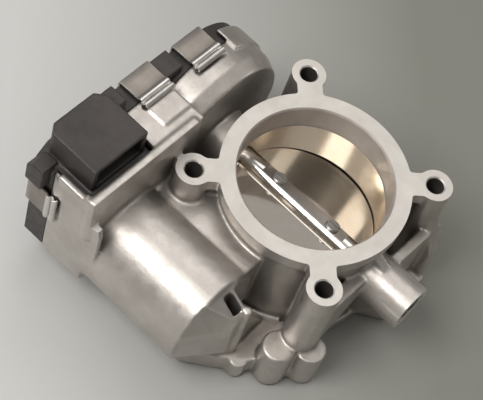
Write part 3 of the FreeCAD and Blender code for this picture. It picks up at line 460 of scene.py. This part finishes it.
def finish_of(face):
    """Which finish a face of the casting gets: 0 cast, 1 milled, 2 mouth, 3 bored, 4 drilled (painted near
    black as shade inside the holes).
    """
    spot = face.center
    from_axis = math.hypot(spot.x, spot.y)
    from_bolt = min(math.hypot(spot.x - x, spot.y - y) for x, y in corners())
    from_shaft = math.hypot(spot.y, spot.z + SHAFT_DEPTH)
    upright = abs(face.normal.z) < 0.3
    if abs(spot.z) < 0.3 * MM and face.normal.z > 0.8:
        return 1
    if from_bolt < BOLT_HOLE + 0.3 * MM and upright:
        return 4
    if THROAT_RADIUS < from_axis < MOUTH_RADIUS + 1.2 * MM and spot.z > 0.02 * MM - MOUTH_DEPTH:
        return 2
    if THROAT_RADIUS - 0.2 * MM < from_axis < THROAT_RADIUS + 0.5 * MM and upright:
        return 3
    if spot.x > BOSS_END - 0.05 * MM:
        return 1
    if spot.x > BEARING_START and from_shaft < BEARING_RADIUS + 0.2 * MM:
        return 1
    return 0


def make_casting(looks):
    """The cast body: softened blank, then machined."""
    bm = bmesh.new()
    fill_blank(bm)
    casting = new_piece("cast_body", to_mesh("cast_body", bm))
    soften(casting, 0.55 * MM, 7, 0.28)
    carve(casting, machining())
    mesh = casting.data
    mesh.materials.clear()
    for look in looks:
        mesh.materials.append(look)
    for face in mesh.polygons:
        face.material_index = finish_of(face)
    finish_faces(mesh)
    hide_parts("throttle_housing")


# ---------------------------------------------------------------- other pieces

def make_cover(look):
    """The cover and its connector, rebuilt with small moulded radii and its outer ribs."""
    bm = bmesh.new()
    bm.from_mesh(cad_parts["gear_cover"].data)
    add_cover_ribs(bm)
    cover = new_piece("cover_moulding", to_mesh("cover_moulding", bm))
    soften(cover, 0.40 * MM, 4, 0.35)
    cover.data.materials.clear()
    cover.data.materials.append(look)
    finish_faces(cover.data)
    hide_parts("gear_cover")


def clip_places():
    """Where each clip sits: a frame whose X runs across the split, and Z stands out of the case."""
    centre = Matrix.Translation((0, CASE_CENTRE_Y, CASE_CENTRE_Z))
    places = [Matrix.Translation((0, -29.5 * MM, BLOCK_TOP))]
    for angle in (-1.0, -118.0, -158.0):
        turn = Matrix.Rotation(math.radians(angle), 4, "X")
        places.append(centre @ turn @ Matrix.Translation((0, 0, CASE_RADIUS)))
    side = Matrix.Translation((0, BLOCK_END, -10.0 * MM)) @ Matrix.Rotation(math.radians(90), 4, "X")
    low = Matrix.Translation((0, -44.0 * MM, -54.37 * MM)) @ Matrix.Rotation(math.radians(172.8), 4, "X")
    return places + [side, low]


def clip_section():
    """The bent strip seen from its end, in millimetres: (across the split, out of the case)."""
    leg = [(-71.4, -4.5), (-71.4, -2.0), (-71.4, 0.0), (-71.3, 0.45), (-70.9, 0.75)]
    plate = [(-68.0, 0.78), (-65.0, 0.78), (-62.4, 0.75)]
    first = [(-61.7, 0.95), (-61.1, 1.45), (-60.5, 1.6), (-60.0, 1.3), (LIP_GAP, 0.75)]
    second = [(-59.0, 0.70), (-58.7, 1.2), (-58.2, 1.55), (-57.6, 1.4), (-57.2, 0.85), (-57.2, 0.2)]
    return leg + plate + first + second


def make_clips(look, lip_highlight_look):
    """Six bent strips, each with a long window between its two rolled lips."""
    section = clip_section()
    across = [-7.4, -7.0, -5.6, -4.0, -2.0, 0.0, 2.0, 4.0, 5.6, 7.0, 7.4]
    bm = bmesh.new()
    for place in clip_places():
        rows = [[bm.verts.new(place @ (Vector((x, y, z)) * MM)) for y in across] for x, z in section]
        for index, (row, after) in enumerate(zip(rows, rows[1:])):
            window = section[index][0] == LIP_GAP
            for column in range(len(across) - 1):
                if window and abs(across[column] + across[column + 1]) < 10.0:
                    continue
                face = bm.faces.new((row[column], row[column + 1], after[column + 1], after[column]))
                # The rolled lips take a much paler steel than the rest of the strip: a painted highlight
                # along them.
                face.material_index = int(index >= FIRST_LIP)
    mesh = to_mesh("spring_clips", bm)
    mesh.materials.append(look)
    mesh.materials.append(lip_highlight_look)
    clips = new_piece("spring_clips", mesh)
    thick = clips.modifiers.new("thick", "SOLIDIFY")
    thick.thickness = CLIP_THICKNESS
    thick.offset = 0.0
    thick.use_even_offset = True
    edge = clips.modifiers.new("edge", "BEVEL")
    edge.width = 0.15 * MM
    edge.segments = 2
    edge.angle_limit = math.radians(45)
    apply_all(clips)
    finish_faces(clips.data, 50.0)
    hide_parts("cover_clips")


def add_cover_ribs(bm):
    """Stiffening rings and ribs moulded on the cover's outer face."""
    face = COVER_FACE
    rise = 0.6 * MM
    width = 1.6 * MM
    steps = 48
    for y, z, radius in ((0.0, -SHAFT_DEPTH, 17.0 * MM), (*MOTOR_LINE, 11.0 * MM)):
        for step in range(steps):
            angle = 2 * math.pi * step / steps
            length = 2 * math.pi * radius / steps
            across = radius * math.cos(angle)
            along = radius * math.sin(angle)
            spot = Matrix.Translation((face, y + across, z + along))
            turn = Matrix.Rotation(angle, 4, "X")
            size = Matrix.Diagonal((2 * rise, width, length * 1.15, 1.0))
            bmesh.ops.create_cube(bm, size=1.0, matrix=spot @ turn @ size)
    for low, high in ((-45.0, -18.5), (-76.0, -70.5)):
        for z in (-37.0, -29.0, -21.0):
            add_box(bm, (face - rise, low * MM, (z - 0.8) * MM), (face + rise, high * MM, (z + 0.8) * MM))


def dress(node, look, bevel):
    """A material for a CAD node, and a small bevel where one is given."""
    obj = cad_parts[node]
    for slot in obj.material_slots:
        slot.link = "OBJECT"
        slot.material = look
    if bevel:
        edge = obj.modifiers.new("edge", "BEVEL")
        edge.width = bevel
        edge.segments = 2
        edge.limit_method = "ANGLE"
        edge.angle_limit = math.radians(40)
        edge.harden_normals = False


# ---------------------------------------------------------------- stage

def make_stage():
    """A plain pale floor under the rear face, with painted shade that greys it towards the right of the
    view.
    """
    mesh = bpy.data.meshes.new("floor")
    half = 3.0
    low = cad_bounds[0][2]
    mesh.from_pydata([(-half, -half, low), (half, -half, low), (half, half, low), (-half, half, low)],
                     [], [(0, 1, 2, 3)])
    floor = bpy.data.objects.new("floor", mesh)
    bpy.context.scene.collection.objects.link(floor)
    look = Look("floor", Roughness=0.9)
    along = look.add("ShaderNodeVectorMath", operation="DOT_PRODUCT")
    along.inputs[1].default_value = (0.735, 0.678, 0.0)
    look.wire(look.place, along.inputs[0])
    # Painted shade: the floor colour darkens along the view's left-to-right direction, standing in for light
    # falling off.
    painted_falloff = look.ramp(along.outputs["Value"], -0.115, 0.065, 0.0, 1.0)
    pale = look.mix(look.ramp(look.noise(3.0), 0.3, 0.7, 0.0, 1.0), (0.60, 0.60, 0.59), (0.62, 0.62, 0.61))
    look.colour(look.mix(painted_falloff, pale, (0.25, 0.252, 0.225)))
    mesh.materials.append(look.material)


def add_light(name, direction, distance, size, power, tint=(1.0, 0.98, 0.95)):
    """A soft rectangular light that faces the object."""
    data = bpy.data.lights.new(name, "AREA")
    data.shape = "RECTANGLE"
    data.size, data.size_y = size
    data.energy = power
    data.color = tint
    light = bpy.data.objects.new(name, data)
    bpy.context.scene.collection.objects.link(light)
    way = Vector(direction).normalized()
    light.location = Vector((0, -0.02, -0.02)) + way * distance
    light.rotation_euler = way.to_track_quat("Z", "Y").to_euler()


def make_lights():
    """A bright softbox above the viewer's side, and weaker ones overhead and all round."""
    add_light("key", (-0.22, -0.50, 0.84), 0.9, (0.40, 0.40), 4.8, (1.0, 0.985, 0.955))
    add_light("top", (-0.22, 0.42, 0.86), 1.2, (0.8, 0.6), 2.4, (1.0, 0.985, 0.96))
    add_light("left", (-0.82, -0.34, 0.46), 1.2, (0.95, 0.6), 1.85)
    add_light("right", (0.95, -0.10, 0.35), 1.2, (0.6, 0.8), 0.7)
    add_light("back", (0.40, 0.88, 0.25), 1.2, (0.4, 0.3), 0.9)
    add_light("overhead", (0.08, 0.0, 1.0), 1.2, (0.45, 0.45), 0.8)
    add_light("front", (0.10, -0.93, 0.22), 1.2, (0.8, 0.4), 1.0)


def make_room():
    """A dim room that is paler overhead and towards the far side."""
    world = bpy.data.worlds.new("room")
    world.use_nodes = True
    tree = world.node_tree
    place = tree.nodes.new("ShaderNodeTexCoord")
    along = tree.nodes.new("ShaderNodeVectorMath")
    along.operation = "DOT_PRODUCT"
    along.inputs[1].default_value = (0.0, 0.35, 0.93)
    fade = tree.nodes.new("ShaderNodeMapRange")
    fade.inputs["From Min"].default_value = 0.2
    fade.inputs["From Max"].default_value = 0.95
    fade.inputs["To Min"].default_value = 0.05
    fade.inputs["To Max"].default_value = 0.42
    back = tree.nodes["Background"]
    back.inputs["Color"].default_value = (1.0, 0.97, 0.93, 1.0)
    tree.links.new(place.outputs["Generated"], along.inputs[0])
    tree.links.new(along.outputs["Value"], fade.inputs["Value"])
    tree.links.new(fade.outputs["Result"], back.inputs["Strength"])
    bpy.context.scene.world = world
    bpy.context.scene.view_settings.view_transform = "Standard"


def make_camera():
    """A long lens that looks down on the front face, rolled so that the shaft runs down to the right."""
    place = Vector((113.63, -312.50, 499.93)) * MM
    aim = Vector((-18.48, -14.92, -25.0)) * MM
    picture_up = Vector((-0.660, 0.570, 0.489))
    back = (place - aim).normalized()
    right = picture_up.cross(back).normalized()
    up = back.cross(right)
    data = bpy.data.cameras.new("camera")
    data.sensor_width = 36.0
    data.lens = 119.25
    data.clip_end = 20.0
    camera = bpy.data.objects.new("camera", data)
    bpy.context.scene.collection.objects.link(camera)
    camera.matrix_world = Matrix((
        (right.x, up.x, back.x, place.x),
        (right.y, up.y, back.y, place.y),
        (right.z, up.z, back.z, place.z),
        (0.0, 0.0, 0.0, 1.0)))
    bpy.context.scene.camera = camera


# ---------------------------------------------------------------- build

make_stage()
make_lights()
make_room()
make_camera()

steel = bright_steel()
plastic = black_plastic()
# The drilled bolt-hole walls are painted near black: painted shade for the dark inside of the holes.
drilled = plain_stuff("drilled_wall_painted_shade", (0.10, 0.09, 0.085), (0.16, 0.145, 0.135), 0.6, 0.45, 0.6)
make_casting([cast_aluminium(), machined_face(), mouth_skin(), bored_wall(), drilled])
make_cover(plastic)
# The clips' lips get a paler copy of the steel: a painted highlight.
make_clips(clip_steel(), bright_steel("clip_lips_painted_highlight", (0.80, 0.78, 0.75), 0.30, 0.42))

shaft_steel = bright_steel("shaft_steel", (0.70, 0.68, 0.65), 0.15, 0.18, (8.0, 1.0, 1.0))
screw_steel = bright_steel("screw_steel", (0.40, 0.385, 0.37), 0.42, 0.52)
spring_wire = bright_steel("spring_wire", (0.30, 0.29, 0.28), 0.3, 0.45)
rubber = plain_stuff("rubber", (0.02, 0.02, 0.02), (0.035, 0.034, 0.033), 0.0, 0.6, 0.8)
gear_plastic = plain_stuff("gear_plastic", (0.62, 0.56, 0.43), (0.72, 0.66, 0.53), 0.0, 0.35, 0.5)
copper = plain_stuff("copper", (0.55, 0.22, 0.10), (0.70, 0.32, 0.17), 1.0, 0.25, 0.4, 500.0)
brass = plain_stuff("brass", (0.60, 0.44, 0.20), (0.72, 0.56, 0.28), 1.0, 0.2, 0.35, 400.0)
dull_iron = plain_stuff("dull_iron", (0.06, 0.06, 0.062), (0.10, 0.10, 0.10), 0.6, 0.5, 0.65)
board = plain_stuff("board", (0.03, 0.12, 0.06), (0.05, 0.18, 0.09), 0.0, 0.3, 0.45)

NODE_LOOKS = {
    "throttle_plate": (plate_metal(), 0.0), "throttle_shaft": (shaft_steel, 0.0),
    "plate_screws": (screw_steel, 0.12 * MM), "bearing_plug": (steel, 0.2 * MM),
    "needle_bearings": (steel, 0.0), "shaft_seals": (rubber, 0.0),
    "throttle_gear": (gear_plastic, 0.0), "gear_insert": (steel, 0.0),
    "wiper_contacts": (brass, 0.0), "return_spring": (spring_wire, 0.0),
    "intermediate_gear": (gear_plastic, 0.0), "intermediate_pin": (steel, 0.2 * MM),
    "motor_can": (steel, 0.3 * MM), "motor_magnets": (dull_iron, 0.0),
    "motor_bushes": (brass, 0.0), "wave_washer": (spring_wire, 0.0),
    "armature_core": (dull_iron, 0.0), "armature_windings": (copper, 0.0),
    "commutator": (copper, 0.0), "motor_shaft": (steel, 0.2 * MM),
    "motor_pinion": (brass, 0.0), "motor_end_cap": (plastic, 0.0),
    "motor_brushes": (dull_iron, 0.2 * MM), "motor_terminals": (copper, 0.1 * MM),
    "motor_screws": (steel, 0.15 * MM), "connector_terminals": (brass, 0.1 * MM),
    "sensor_board": (board, 0.0), "cover_gasket": (rubber, 0.0),
}
for node, (look, bevel) in NODE_LOOKS.items():
    dress(node, look, bevel)
